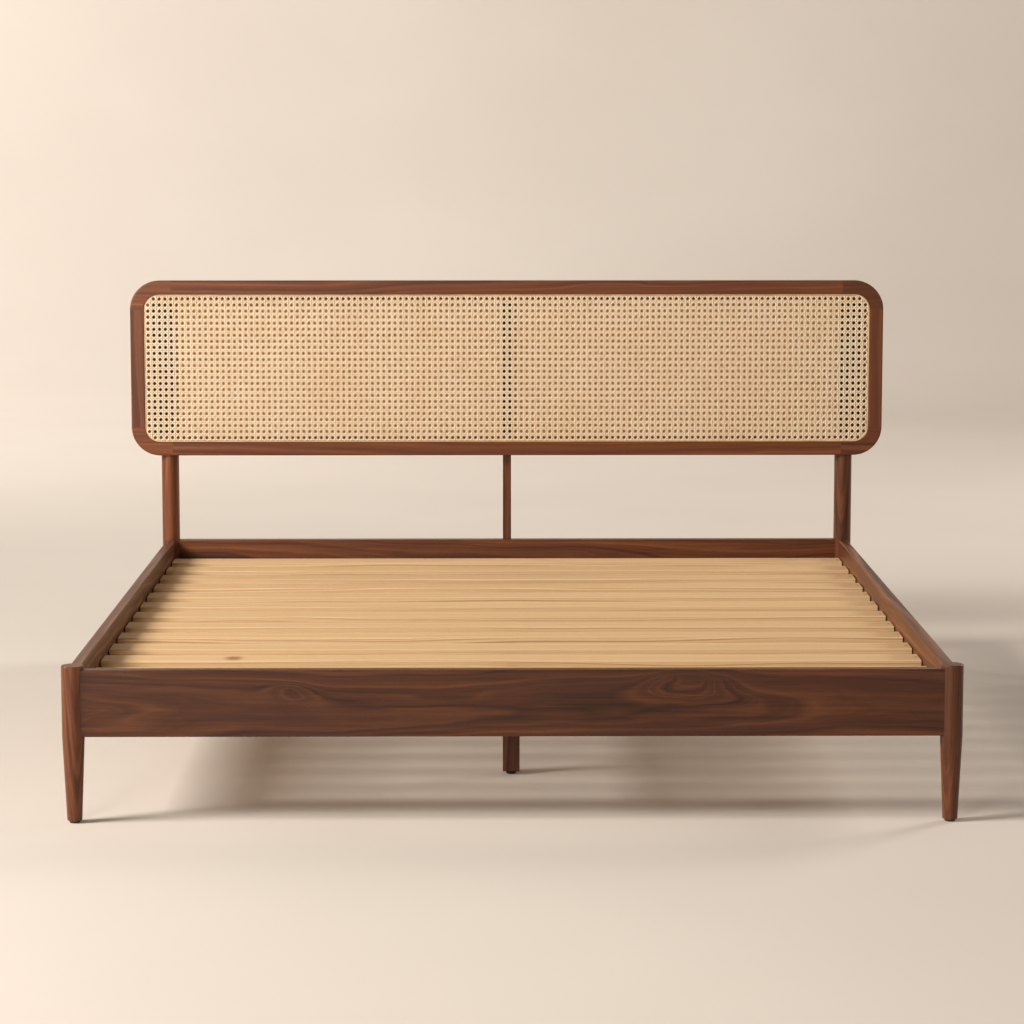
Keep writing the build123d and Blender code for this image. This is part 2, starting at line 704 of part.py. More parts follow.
def write_fasteners(dowels, pan_screws, wood_screws):
    """Write the groups of identical fasteners."""
    pin = dowel()
    sleeve = threaded_insert()
    pan = pan_screw()
    screw = wood_screw() - cross_slot()
    save("dowels", [along(start, way, pin) for start, way in dowels])
    save("threaded_inserts", [along(mouth, way, sleeve) for mouth, way in insert_places()])
    save("bracket_bolts", [along(seat, way, bracket_bolt()) for seat, way, mouth in bracket_bolt_places()])
    save("headboard_bolts", [along(seat, way, head_bolt()) for seat, way, mouth in head_bolt_places()])
    save("pan_screws", [along(seat, way, pan) for seat, way in pan_screws])
    save("wood_screws", [along(head, way, screw) for head, way in wood_screws])
    glides = [Pos(side_x * LEG_X, side_y * LEG_Y, 0) * leg_glide() for side_x, side_y in CORNERS.values()]
    save("leg_glides", glides)


def write_headboard(holes):
    """Write the headboard's frame, its uprights, its back panel, the cane and its spline."""
    battens = {name: batten(x, width) for name, (x, width) in BATTENS.items()}
    for name, member in headboard_members().items():
        for upright in battens.values():
            if boxes_meet(member, upright):
                member = member - upright
        save(name, [drilled(member, holes)])
    for name, upright in battens.items():
        save(f"batten_{name}", [upright])
    save("back_panel", [drilled(back_panel(), holes)])
    save("centre_strut", [drilled(centre_strut(), holes)])
    save("cane_panel", [cane_panel()])
    save("cane_spline", [cane_spline()])


def write_base(holes):
    """Write the legs, the rails and the corner brackets."""
    for name, side in SIDES.items():
        front = Pos(side * LEG_X, -LEG_Y, 0) * round_leg(LEG_TOP)
        rear = Pos(side * LEG_X, LEG_Y, 0) * rear_post()
        save(f"front_leg_{name}", [drilled(front, holes)])
        save(f"rear_post_{name}", [drilled(rear, holes)])
        save(f"side_rail_{name}", [drilled(side_rail(side), holes)])
    save("foot_rail", [drilled(end_rail(-1), holes)])
    save("head_rail", [drilled(head_rail(), holes)])
    for name, (side_x, side_y) in CORNERS.items():
        bracket = mirrored(corner_bracket(), side_x, side_y)
        save(f"corner_bracket_{name}", [drilled(bracket, holes)])


def write_deck(holes):
    """Write the slats, the ledgers, the centre beam, its hangers, its legs and their glides."""
    for number, y in enumerate(slat_positions(), start=1):
        save(f"slat_{number:02d}", [drilled(slat(y), holes)])
    for name, side in SIDES.items():
        save(f"ledger_{name}", [drilled(ledger(side), holes)])
    save("centre_beam", [drilled(centre_beam(), holes)])
    hangers = [mirrored(beam_hanger(), 1, side_y) for side_y in (-1, 1)]
    save("beam_hangers", [drilled(hanger, holes) for hanger in hangers])
    for name, y in centre_leg_positions().items():
        save(f"centre_leg_{name}", [drilled(centre_leg(y), holes)])
        save(f"glide_pad_{name}", [glide_pad(y)])
        save(f"glide_stem_{name}", [glide_stem(y)])


def main():
    """Write every node of the bed frame."""
    dowels = frame_dowel_places() + rail_dowel_places() + centre_leg_dowel_places()
    pan_screws = bracket_screw_places() + panel_screw_places()
    wood_screws = slat_screw_places() + ledger_screw_places() + strut_screw_places()
    holes = [dowel_hole(start, way) for start, way in dowels]
    holes += [insert_hole(mouth, way) for mouth, way in insert_places()]
    holes += bolt_holes()
    holes += pan_screw_holes(pan_screws)
    holes += screw_holes(wood_screws)
    write_fasteners(dowels, pan_screws, wood_screws)
    write_headboard(holes)
    write_base(holes)
    write_deck(holes)


main()
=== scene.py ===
from collections import namedtuple
import math

import bpy
import numpy as np
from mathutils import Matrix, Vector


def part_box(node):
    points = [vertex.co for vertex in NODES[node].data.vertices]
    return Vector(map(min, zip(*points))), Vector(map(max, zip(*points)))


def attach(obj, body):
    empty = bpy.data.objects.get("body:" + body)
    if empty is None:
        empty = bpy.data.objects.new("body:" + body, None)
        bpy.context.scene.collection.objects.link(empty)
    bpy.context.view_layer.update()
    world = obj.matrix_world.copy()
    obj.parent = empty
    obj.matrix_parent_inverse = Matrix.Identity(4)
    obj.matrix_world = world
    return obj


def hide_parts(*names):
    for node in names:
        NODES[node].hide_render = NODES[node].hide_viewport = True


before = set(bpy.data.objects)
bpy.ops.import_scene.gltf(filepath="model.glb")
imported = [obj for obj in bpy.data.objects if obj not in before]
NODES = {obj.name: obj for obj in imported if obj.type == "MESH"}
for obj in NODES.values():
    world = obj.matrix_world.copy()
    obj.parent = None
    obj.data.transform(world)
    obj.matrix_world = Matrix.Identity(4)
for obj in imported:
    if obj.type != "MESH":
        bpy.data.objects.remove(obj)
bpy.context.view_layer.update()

# A king-size walnut bed frame with a woven cane headboard, in metres.
# +X is to the right seen from the foot, +Y runs from the foot to the head, +Z is up.

# How many openings the cane has
CANE_CELLS_ACROSS = 126
CANE_CELLS_UP = 24

# Its strands. The pair offset is half the distance between the two strands of a pair, and the weave
# depth is how far a strand swings each way as it passes over and under the others.
STRAND_WIDTH = 0.0027
DIAGONAL_WIDTH = 0.0033
STRAND_THICK = 0.0009
PAIR_OFFSET = 0.0023
WEAVE_DEPTH = 0.00095
SAMPLES_PER_CELL = 4
STRAND_SEED = 41

# A strand's section: places across it, in widths, and depths, in thicknesses, with the front below zero
SECTION_ACROSS = np.array([-0.5, -0.27, 0.27, 0.5, 0.0])
SECTION_DEPTH = np.array([0.0, -0.5, -0.5, 0.0, 0.4])

# The middle of the weave lies in front of the CAD sheet's back by the cane depth. The strands run on past
# that sheet's edge by the tuck, into the spline, which hides their ends, and the corners are round.
CANE_DEPTH = 0.0015
CANE_TUCK = 0.0010
CANE_CORNER = 0.041

# A line is looked at in this many places to find where it crosses the outline, and needs a few inside
OUTLINE_SAMPLES = 6001
FEWEST_INSIDE = 20

# The studio: a round floor with a cove and a wall round it. The flat ring keeps the floor's shading level.
FLOOR_RADIUS = 8.5
FLAT_RING = 0.1
COVE_RADIUS = 5.0
COVE_STEPS = 16
WALL_TOP = 8.0
WALL_STEPS = 96
SURROUND_COLOUR = (1.0, 0.87, 0.72, 1)
SURROUND_STRENGTH = 0.14

# The camera: its place, the degrees that it looks down and to the right, its lens and sensor in
# millimetres, how far its lens is shifted in picture heights, and how far it sees
CAMERA_PLACE = (-0.0545, -7.542, 1.572)
CAMERA_DOWN = 6.67
CAMERA_TURN = 0.463
CAMERA_LENS = 102.63
CAMERA_SENSOR = 36
CAMERA_SHIFT = -45 / 1024
CAMERA_REACH = 60


# ---------------------------------------------------------------- shader helpers


# The numbers of the Mix node's sockets for colours
MIX_FACTOR = 0
MIX_FIRST = 6
MIX_SECOND = 7
MIX_RESULT = 2


class Shader:
    """Builds one material's node tree. Inputs may be plain values or the outputs of other nodes."""

    def __init__(self, name):
        self.material = bpy.data.materials.new(name)
        self.material.use_nodes = True
        self.tree = self.material.node_tree
        self.tree.nodes.clear()
        output = self.tree.nodes.new("ShaderNodeOutputMaterial")
        self.principled = self.tree.nodes.new("ShaderNodeBsdfPrincipled")
        self.tree.links.new(self.principled.outputs[0], output.inputs["Surface"])
        self.place = self.add("ShaderNodeTexCoord").outputs["Object"]
        self.axes = dict(zip("XYZ", self.add("ShaderNodeSeparateXYZ", {0: self.place}).outputs))

    def feed(self, socket, value):
        """Set a socket to a value, or link it to an output."""
        if isinstance(value, bpy.types.NodeSocket):
            self.tree.links.new(value, socket)
        else:
            socket.default_value = value

    def add(self, kind, inputs=None, **settings):
        """Add a node."""
        node = self.tree.nodes.new(kind)
        for key, value in settings.items():
            setattr(node, key, value)
        for key, value in (inputs or {}).items():
            self.feed(node.inputs[key], value)
        return node

    def math(self, operation, *values):
        """A number worked out from one, two or three others."""
        return self.add("ShaderNodeMath", dict(enumerate(values)), operation=operation).outputs[0]

    def vector(self, x, y, z):
        """A vector from its three parts."""
        return self.add("ShaderNodeCombineXYZ", {0: x, 1: y, 2: z}).outputs[0]

    def noise(self, place, scale, detail, rough=0.55, distortion=0.0):
        """A noise value from about 0.25 to 0.75 at a place."""
        inputs = {"Vector": place, "Scale": scale, "Detail": detail, "Roughness": rough}
        inputs["Distortion"] = distortion
        return self.add("ShaderNodeTexNoise", inputs).outputs["Fac"]

    def swing(self, place, detail, rough=0.55):
        """A noise value from about -0.25 to 0.25 at a place."""
        return self.math("SUBTRACT", self.noise(place, 1.0, detail, rough), 0.5)

    def line_noise(self, where, detail, rough=0.6):
        """A noise value along a single number."""
        inputs = {"W": where, "Scale": 1.0, "Detail": detail, "Roughness": rough}
        return self.add("ShaderNodeTexNoise", inputs, noise_dimensions="1D").outputs["Fac"]

    def spread(self, value, low, high, to_low=0.0, to_high=1.0):
        """Map low..high to to_low..to_high, with the ends held."""
        inputs = {"Value": value, 1: low, 2: high, 3: to_low, 4: to_high}
        return self.add("ShaderNodeMapRange", inputs).outputs[0]

    def share(self, first, part, second):
        """Two numbers mixed: a part of the first and the rest of the second."""
        rest = self.math("MULTIPLY", second, 1 - part)
        return self.math("ADD", self.math("MULTIPLY", first, part), rest)

    def fade(self, reach, rate):
        """1 where the reach is 0, falling away towards 0 as the reach grows."""
        return self.math("EXPONENT", self.math("MULTIPLY", reach, -rate))

    def mix(self, factor, first, second):
        """Mix two colours."""
        node = self.add("ShaderNodeMix", data_type="RGBA")
        self.feed(node.inputs[MIX_FACTOR], factor)
        self.feed(node.inputs[MIX_FIRST], first)
        self.feed(node.inputs[MIX_SECOND], second)
        return node.outputs[MIX_RESULT]

    def tint(self, colour, where, strength, other):
        """Mix another colour into a colour, by a strength times a value from 0 to 1."""
        return self.mix(self.math("MULTIPLY", where, strength), colour, (*other, 1))

    def ramp(self, factor, stops):
        """A colour ramp through (place, colour) stops."""
        node = self.add("ShaderNodeValToRGB", {0: factor})
        elements = node.color_ramp.elements
        while len(elements) < len(stops):
            elements.new(0.5)
        for element, (place, colour) in zip(elements, stops):
            element.position = place
            element.color = (*colour, 1)
        return node.outputs[0]

    def bump(self, height, strength, distance):
        """Tilt the surface by a height."""
        inputs = {"Height": height, "Strength": strength, "Distance": distance}
        self.feed(self.principled.inputs["Normal"], self.add("ShaderNodeBump", inputs).outputs[0])

    def finish(self, **inputs):
        """Set the shader's own inputs and return the material."""
        for name, value in inputs.items():
            self.feed(self.principled.inputs[name.replace("_", " ")], value)
        return self.material


def grain_axes(shader, axis):
    """The distance along the grain and the two distances across it."""
    order = {"X": "XZY", "Y": "YZX", "Z": "ZXY"}[axis]
    return [shader.axes[letter] for letter in order]


def stretched(shader, axes, lengthwise, crosswise, shift=0.0):
    """A place in a pattern that is drawn out along the grain, with its scale each way."""
    along, across, deep = axes
    return shader.vector(
        shader.math("MULTIPLY_ADD", along, lengthwise, shift),
        shader.math("MULTIPLY", across, crosswise),
        shader.math("MULTIPLY", deep, crosswise),
    )


# ---------------------------------------------------------------- walnut


WALNUT_DARK = (0.034, 0.0095, 0.0036)
WALNUT_MIDDLE = (0.116, 0.034, 0.0110)
WALNUT_LIGHT = (0.215, 0.072, 0.025)
WALNUT_PURPLE = (0.078, 0.024, 0.0145)

# How far each board's patterns are moved along from the last one's
WALNUT_SHIFT = 7.31

# How far the rings bend and ripple, in metres of radius, how fast the trunk widens along its length, and
# how many light and dark rings there are in a metre
TRUNK_BEND = 0.075
TRUNK_RIPPLE = 0.008
TRUNK_TAPER = 0.012
RINGS_PER_METRE = 95

# How much the rings, streaks and fibres each count in the tone
RING_SHARE = 0.58
STREAK_SHARE = 0.26
FIBRE_SHARE = 0.16

# How far the dark and light tones lie from the middle one. An evenness above 1 sets them further apart,
# which makes the figure fainter.
DARK_REACH = 0.14
LIGHT_REACH = 0.15
HEADBOARD_EVENNESS = 1.7

# A knot's place along and across the board, half its length and width, and how far it shifts the rings,
# all in metres. Its ovals are made uneven by the ripple, and its dark heart fades out towards the rim.
Knot = namedtuple("Knot", "along across length width strength")
KNOT_RIPPLE = 2.8
KNOT_HEART_FADE = 5.0


def shaded(colour, tone_and_painted_light):
    """A colour made lighter or darker."""
    return tuple(part * tone_and_painted_light for part in colour)


def walnut(name, axis, seed, pith, tone_and_painted_light, evenness, knots):
    """Oiled walnut, cut from a log of its own whose pith is at a given place across the grain."""
    s = Shader(name)
    axes = grain_axes(s, axis)
    shift = seed * WALNUT_SHIFT
    slow = stretched(s, axes, 0.9, 5, shift)
    ripple = s.swing(stretched(s, axes, 5, 22, shift), 2.0, 0.5)
    fibre = s.noise(stretched(s, axes, 9, 620, shift), 1.0, 3.0, 0.6)
    pores = s.spread(s.noise(stretched(s, axes, 110, 1900, shift), 1.0, 1.0), 0.62, 0.72)
    hue = s.spread(s.noise(slow, 2.3, 2.0), 0.45, 0.68)
    reaches = [knot_reach(s, axes, ripple, knot) for knot in knots]
    radius = trunk_radius(s, axes, pith, s.swing(slow, 2.5, 0.5), ripple)
    for knot, reach in zip(knots, reaches):
        radius = s.math("SUBTRACT", radius, s.math("MULTIPLY", s.fade(reach, 1.0), knot.strength))
    tone = walnut_tone(s, axes, shift, radius, fibre)
    # Every colour is scaled by the board's number from the table of boards: its own tone, and for many
    # boards painted sheen or painted shade
    dark = shaded(WALNUT_DARK, tone_and_painted_light)
    colour = s.ramp(tone, walnut_stops(tone_and_painted_light, evenness))
    colour = s.tint(colour, hue, 0.45, shaded(WALNUT_PURPLE, tone_and_painted_light))
    for reach in reaches:
        colour = s.tint(colour, s.fade(reach, KNOT_HEART_FADE), 0.6, dark)
    colour = s.tint(colour, pores, 0.55, dark)
    s.bump(s.math("SUBTRACT", s.math("MULTIPLY", fibre, 0.5), pores), 0.25, 0.0004)
    rough = s.spread(tone, 0.35, 0.65, 0.43, 0.35)
    return s.finish(Base_Color=colour, Roughness=rough, Specular_IOR_Level=0.32)


def knot_reach(s, axes, ripple, knot):
    """The square of the distance from a knot's heart, about 1 at its rim."""
    u = s.math("DIVIDE", s.math("SUBTRACT", axes[0], knot.along), knot.length)
    v = s.math("DIVIDE", s.math("SUBTRACT", axes[1], knot.across), knot.width)
    reach = s.math("ADD", s.math("MULTIPLY", u, u), s.math("MULTIPLY", v, v))
    return s.math("ABSOLUTE", s.math("MULTIPLY_ADD", ripple, KNOT_RIPPLE, reach))


def trunk_radius(s, axes, pith, bend, ripple):
    """The distance from the pith in the uneven trunk that the board was cut from."""
    along, across, deep = axes
    x = s.math("SUBTRACT", across, pith[0])
    y = s.math("SUBTRACT", deep, pith[1])
    radius = s.math("SQRT", s.math("ADD", s.math("MULTIPLY", x, x), s.math("MULTIPLY", y, y)))
    radius = s.math("MULTIPLY_ADD", bend, TRUNK_BEND, radius)
    radius = s.math("MULTIPLY_ADD", ripple, TRUNK_RIPPLE, radius)
    return s.math("MULTIPLY_ADD", along, TRUNK_TAPER, radius)


def walnut_tone(s, axes, shift, radius, fibre):
    """From dark to light: yearly rings, long streaks and fine fibres."""
    rings = s.line_noise(s.math("MULTIPLY_ADD", radius, RINGS_PER_METRE, shift), 3.5, 0.62)
    streak = s.noise(stretched(s, axes, 2.2, 90, shift), 1.0, 3.0, 0.55, 0.4)
    tone = s.math("ADD", s.math("MULTIPLY", rings, RING_SHARE), s.math("MULTIPLY", streak, STREAK_SHARE))
    return s.math("MULTIPLY_ADD", fibre, FIBRE_SHARE, tone)


def walnut_stops(tone_and_painted_light, evenness):
    """The dark, middle and light colours and the tones that they stand for."""
    return [
        (0.50 - DARK_REACH * evenness, shaded(WALNUT_DARK, tone_and_painted_light)),
        (0.50, shaded(WALNUT_MIDDLE, tone_and_painted_light)),
        (0.50 + LIGHT_REACH * evenness, shaded(WALNUT_LIGHT, tone_and_painted_light)),
    ]


# ---------------------------------------------------------------- softwood and plywood


SOFTWOOD_SHIFT = 3.17
SOFTWOOD_STOPS = [(0.30, (0.47, 0.27, 0.12)), (0.50, (0.66, 0.44, 0.23)), (0.66, (0.74, 0.53, 0.31))]
SOFTWOOD_FIBRE = (0.50, 0.31, 0.15)
SOFTWOOD_KNOT = (0.20, 0.09, 0.035)
PLY_STOPS = [(0.35, (0.50, 0.300, 0.150)), (0.65, (0.73, 0.46, 0.25))]


def softwood(name, axis, seed):
    """Planed softwood: straight pale grain with darker lines and a knot here and there."""
    s = Shader(name)
    axes = grain_axes(s, axis)
    shift = seed * SOFTWOOD_SHIFT
    bend = s.swing(stretched(s, axes, 0.8, 6, shift), 2.0)
    height = s.math("MULTIPLY_ADD", bend, 0.05, s.math("MULTIPLY_ADD", axes[2], 0.6, axes[1]))
    rings = s.line_noise(s.math("MULTIPLY_ADD", height, 230, shift), 2.5, 0.55)
    knots = softwood_knots(s, axes, shift)
    fibre = s.noise(stretched(s, axes, 12, 700), 1.0, 2.0)
    colour = s.ramp(rings, SOFTWOOD_STOPS)
    colour = s.tint(colour, fibre, 0.22, SOFTWOOD_FIBRE)
    colour = s.tint(colour, knots, 0.8, SOFTWOOD_KNOT)
    s.bump(s.math("MULTIPLY_ADD", rings, 0.5, fibre), 0.2, 0.0003)
    return s.finish(Base_Color=colour, Roughness=0.62, Specular_IOR_Level=0.35)


def softwood_knots(s, axes, shift):
    """1 in the heart of a knot and 0 away from it: small ovals, far apart."""
    along, across, deep = axes
    place = s.vector(
        s.math("MULTIPLY_ADD", along, 2.4, shift),
        s.math("MULTIPLY", across, 9),
        s.math("MULTIPLY", deep, 2),
    )
    distance = s.add("ShaderNodeTexVoronoi", {"Vector": place, "Scale": 1.0}).outputs["Distance"]
    return s.spread(distance, 0.025, 0.07, 1.0, 0.0)


def panel_ply():
    """The thin back panel: rotary-cut veneer with a light brown stain."""
    s = Shader("panel_ply")
    axes = grain_axes(s, "X")
    height = s.math("MULTIPLY_ADD", s.noise(stretched(s, axes, 1.3, 7), 1.0, 3.0), 0.12, axes[1])
    rings = s.line_noise(s.math("MULTIPLY", height, 130), 3.0)
    fibre = s.noise(stretched(s, axes, 14, 700), 1.0, 2.0)
    colour = s.ramp(s.share(rings, 0.7, fibre), PLY_STOPS)
    s.bump(fibre, 0.15, 0.0003)
    return s.finish(Base_Color=colour, Roughness=0.6, Specular_IOR_Level=0.3)


# ---------------------------------------------------------------- cane and reed


CANE_STOPS = [(0.0, (0.78, 0.620, 0.420)), (0.5, (0.83, 0.680, 0.480)), (1.0, (0.86, 0.720, 0.53))]
CANE_PATCH = (0.76, 0.50, 0.24)
CANE_FIBRE = (0.56, 0.34, 0.15)
REED_STOPS = [(0.35, (0.62, 0.40, 0.20)), (0.65, (0.82, 0.60, 0.35))]
REED_FIBRE = (0.5, 0.3, 0.13)


def cane_skin():
    """Glossy natural cane: pale straw, each strand a little lighter or darker, with fine lines along it.

    The mesh gives each strand a number from 0 to 1, and the distance run along it.
    """
    s = Shader("cane")
    strand = s.add("ShaderNodeAttribute", attribute_name="strand").outputs["Fac"]
    run = s.add("ShaderNodeAttribute", attribute_name="run").outputs["Fac"]
    patch = s.noise(s.place, 5.0, 3.0)
    lines = s.vector(s.math("MULTIPLY", run, 18), s.math("MULTIPLY", strand, 400), 0.0)
    fibre = s.noise(lines, 1.0, 3.0)
    colour = s.ramp(strand, CANE_STOPS)
    colour = s.mix(s.spread(patch, 0.45, 0.75, 0.0, 0.3), colour, (*CANE_PATCH, 1))
    colour = s.mix(s.spread(fibre, 0.52, 0.78, 0.0, 0.45), colour, (*CANE_FIBRE, 1))
    s.bump(fibre, 0.2, 0.0002)
    return s.finish(Base_Color=colour, Roughness=0.36, Specular_IOR_Level=0.5)


def reed():
    """Split reed: pale, with a fine grain."""
    s = Shader("reed")
    patch = s.noise(s.place, 14.0, 3.0)
    fibre = s.noise(s.place, 600.0, 2.0)
    colour = s.tint(s.ramp(patch, REED_STOPS), fibre, 0.3, REED_FIBRE)
    s.bump(fibre, 0.25, 0.0002)
    return s.finish(Base_Color=colour, Roughness=0.5, Specular_IOR_Level=0.35)


# ---------------------------------------------------------------- metal and plastic


def speckled(name, dark, light, scale, rough, metallic, bump):
    """Metal or plastic with a fine surface grain, faint blotches and uneven gloss."""
    s = Shader(name)
    grain = s.noise(s.place, scale, 3.0, 0.6)
    blotch = s.noise(s.place, 55.0, 3.0)
    colour = s.ramp(s.share(grain, 0.6, blotch), [(0.38, dark), (0.62, light)])
    s.bump(grain, bump, 0.0002)
    gloss = s.spread(blotch, 0.35, 0.65, rough - 0.07, rough + 0.09)
    return s.finish(Base_Color=colour, Roughness=gloss, Metallic=metallic)


def black_steel():
    """Steel with a black powder coat."""
    return speckled("black_steel", (0.012, 0.012, 0.013), (0.032, 0.031, 0.030), 900, 0.5, 0.0, 0.35)


def zinc_steel():
    """Zinc-plated steel."""
    return speckled("zinc_steel", (0.42, 0.42, 0.40), (0.62, 0.62, 0.60), 500, 0.34, 1.0, 0.12)


def brass():
    """Plain brass."""
    return speckled("brass", (0.55, 0.36, 0.12), (0.74, 0.53, 0.22), 500, 0.32, 1.0, 0.1)


def black_nylon():
    """Moulded black nylon."""
    return speckled("black_nylon", (0.010, 0.010, 0.010), (0.026, 0.025, 0.024), 1200, 0.55, 0.0, 0.3)


# ---------------------------------------------------------------- woven cane


def rounded_inside(x, z, half_x, half_z, radius):
    """True for points inside a rounded rectangle centred on the origin."""
    dx = np.maximum(np.abs(x) - (half_x - radius), 0)
    dz = np.maximum(np.abs(z) - (half_z - radius), 0)
    return (np.abs(x) < half_x) & (np.abs(z) < half_z) & (np.hypot(dx, dz) < radius)


def inside_span(start, end, half_x, half_z, radius):
    """The part of a straight line that lies inside the rounded outline, as two fractions, or None."""
    fractions = np.linspace(0, 1, OUTLINE_SAMPLES)
    x = start[0] + (end[0] - start[0]) * fractions
    z = start[1] + (end[1] - start[1]) * fractions
    hits = np.flatnonzero(rounded_inside(x, z, half_x, half_z, radius))
    if len(hits) < FEWEST_INSIDE:
        return None
    return fractions[hits[0]], fractions[hits[-1]]


# Each kind of strand's depth in weave depths, with the front below zero, at a place (u, v) in cells.
# The upright pairs lie at whole numbers of u, and the level ones at whole numbers of v.


def level_depth(u, v):
    """A level strand is straight."""
    return np.zeros_like(u)


def upright_depth(u, v):
    """An upright strand passes behind one level pair and in front of the next."""
    return np.cos(np.pi * v)


def partner_depth(u, v):
    """The other strand of an upright pair goes the other way."""
    return -upright_depth(u, v)


def rising_depth(u, v):
    """A rising diagonal strand passes in front of the level pairs and behind the upright ones."""
    return np.cos(2 * np.pi * u)


def falling_depth(u, v):
    """A falling diagonal strand passes behind the level pairs and in front of the upright ones."""
    return -rising_depth(u, v)


class Weave:
    """Collects the strands of the cane and turns them into meshes."""

    def __init__(self, low, high):
        self.centre = ((low.x + high.x) / 2, (low.z + high.z) / 2)
        self.half_x = (high.x - low.x) / 2
        self.half_z = (high.z - low.z) / 2
        self.depth = high.y - CANE_DEPTH
        self.pitch_x = 2 * self.half_x / CANE_CELLS_ACROSS
        self.pitch_z = 2 * self.half_z / CANE_CELLS_UP
        self.random = np.random.default_rng(STRAND_SEED)
        self.strands = []

    def strand(self, start, end, width, depth, samples=SAMPLES_PER_CELL):
        """Add one strand from start to end, as far as the outline. depth(u, v) is one of those above."""
        span = inside_span(start, end, self.half_x + CANE_TUCK, self.half_z + CANE_TUCK, CANE_CORNER)
        if span is None:
            return
        start, end = np.array(start), np.array(end)
        cells = (end - start) / (self.pitch_x, self.pitch_z)
        steps = int(round(np.abs(cells).max() * samples))
        fractions = np.arange(steps + 1) / steps
        inner = fractions[(fractions > span[0]) & (fractions < span[1])]
        fractions = np.concatenate(([span[0]], inner, [span[1]]))
        line = start + (end - start) * fractions[:, None]
        u = line[:, 0] / self.pitch_x + CANE_CELLS_ACROSS / 2
        v = line[:, 1] / self.pitch_z + CANE_CELLS_UP / 2
        self.strands.append((line, depth(u, v) * WEAVE_DEPTH, width, self.random.random()))

    def uprights(self):
        """The pairs of upright strands. Each strand goes the other way from the one before it."""
        for column in range(CANE_CELLS_ACROSS + 1):
            for side in (-1, 1):
                x = (column - CANE_CELLS_ACROSS / 2) * self.pitch_x + side * PAIR_OFFSET
                depth = upright_depth if side * (-1) ** column > 0 else partner_depth
                self.strand((x, -self.half_z), (x, self.half_z), STRAND_WIDTH, depth)

    def crosswise(self):
        """The pairs of level strands."""
        for row in range(CANE_CELLS_UP + 1):
            for side in (-1, 1):
                z = (row - CANE_CELLS_UP / 2) * self.pitch_z + side * PAIR_OFFSET
                self.strand((-self.half_x, z), (self.half_x, z), STRAND_WIDTH, level_depth, samples=1)

    def rising(self):
        """The diagonal strands that rise to the right."""
        self.diagonals(1, CANE_CELLS_UP, rising_depth)

    def falling(self):
        """The diagonal strands that fall to the right."""
        self.diagonals(-1, 0, falling_depth)

    def diagonals(self, slope, reach, depth):
        """The diagonal strands one way, which cross the cells' sides at their middles.

        The reach is how many cells to the left of the sheet they begin.
        """
        run = self.pitch_x * CANE_CELLS_UP * slope
        rise = self.half_z * 2
        for number in range(CANE_CELLS_ACROSS + CANE_CELLS_UP):
            x = (number + 0.5 - reach - CANE_CELLS_ACROSS / 2) * self.pitch_x
            self.strand((x, -self.half_z), (x + run, -self.half_z + rise), DIAGONAL_WIDTH, depth)

    def groups(self):
        """Weave the cane, and share its strands out between a few pieces."""
        families = {
            "upright": (self.uprights, 3), "level": (self.crosswise, 1),
            "rising": (self.rising, 2), "falling": (self.falling, 2),
        }
        groups = {}
        for name, (add, parts) in families.items():
            self.strands = []
            add()
            shares = np.array_split(np.arange(len(self.strands)), parts)
            for part, indices in enumerate(shares, start=1):
                groups[f"cane_{name}_strands_{part}"] = [self.strands[index] for index in indices]
        return groups

    def bar(self, line, depth, width):
        """The points of one strand: its section, repeated along its line."""
        direction = (line[-1] - line[0]) / np.hypot(*(line[-1] - line[0]))
        normal = np.array([-direction[1], direction[0]])
        flat = line[:, None, :] + normal * (SECTION_ACROSS * width)[None, :, None]
        y = depth[:, None] + (SECTION_DEPTH * STRAND_THICK)[None, :]
        x, z = flat[..., 0] + self.centre[0], flat[..., 1] + self.centre[1]
        return np.stack([x, y + self.depth, z], axis=-1).reshape(-1, 3)

    def mesh(self, name, strands):
        """One mesh from some of the strands."""
        ring = len(SECTION_ACROSS)
        points, faces, tints, runs = [], [], [], []
        total = 0
        for line, depth, width, tint in strands:
            points.append(self.bar(line, depth, width))
            faces += bar_faces(total, len(line))
            tints.append(np.full(len(line) * ring, tint))
            runs.append(np.repeat(np.hypot(*(line - line[0]).T), ring))
            total += len(line) * ring
        data = bpy.data.meshes.new(name)
        data.from_pydata(np.concatenate(points).tolist(), [], faces)
        for label, values in (("strand", tints), ("run", runs)):
            attribute = data.attributes.new(label, "FLOAT", "POINT")
            attribute.data.foreach_set("value", np.concatenate(values).astype(np.float32))
        data.shade_smooth()
        data.validate()
        return data


def bar_faces(first, count):
    """The faces of a strand with a number of sections, whose points start at a given number."""
    ring = len(SECTION_ACROSS)
    starts = first + np.arange(count - 1)[:, None] * ring
    here = starts + np.arange(ring)[None, :]
    beside = starts + (np.arange(ring)[None, :] + 1) % ring
    sides = np.stack([here, beside, beside + ring, here + ring], axis=-1).reshape(-1, 4)
    start_cap = [first + index for index in reversed(range(ring))]
    end_cap = [first + (count - 1) * ring + index for index in range(ring)]
    return sides.tolist() + [start_cap, end_cap]


def weave_cane(material):
    """Replace the plain cane sheet with woven strands."""
    weave = Weave(*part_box("cane_panel"))
    for name, strands in weave.groups().items():
        piece = bpy.data.objects.new(name, weave.mesh(name, strands))
        bpy.context.scene.collection.objects.link(piece)
        piece.data.materials.append(material)
        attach(piece, "root")
        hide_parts("cane_panel")
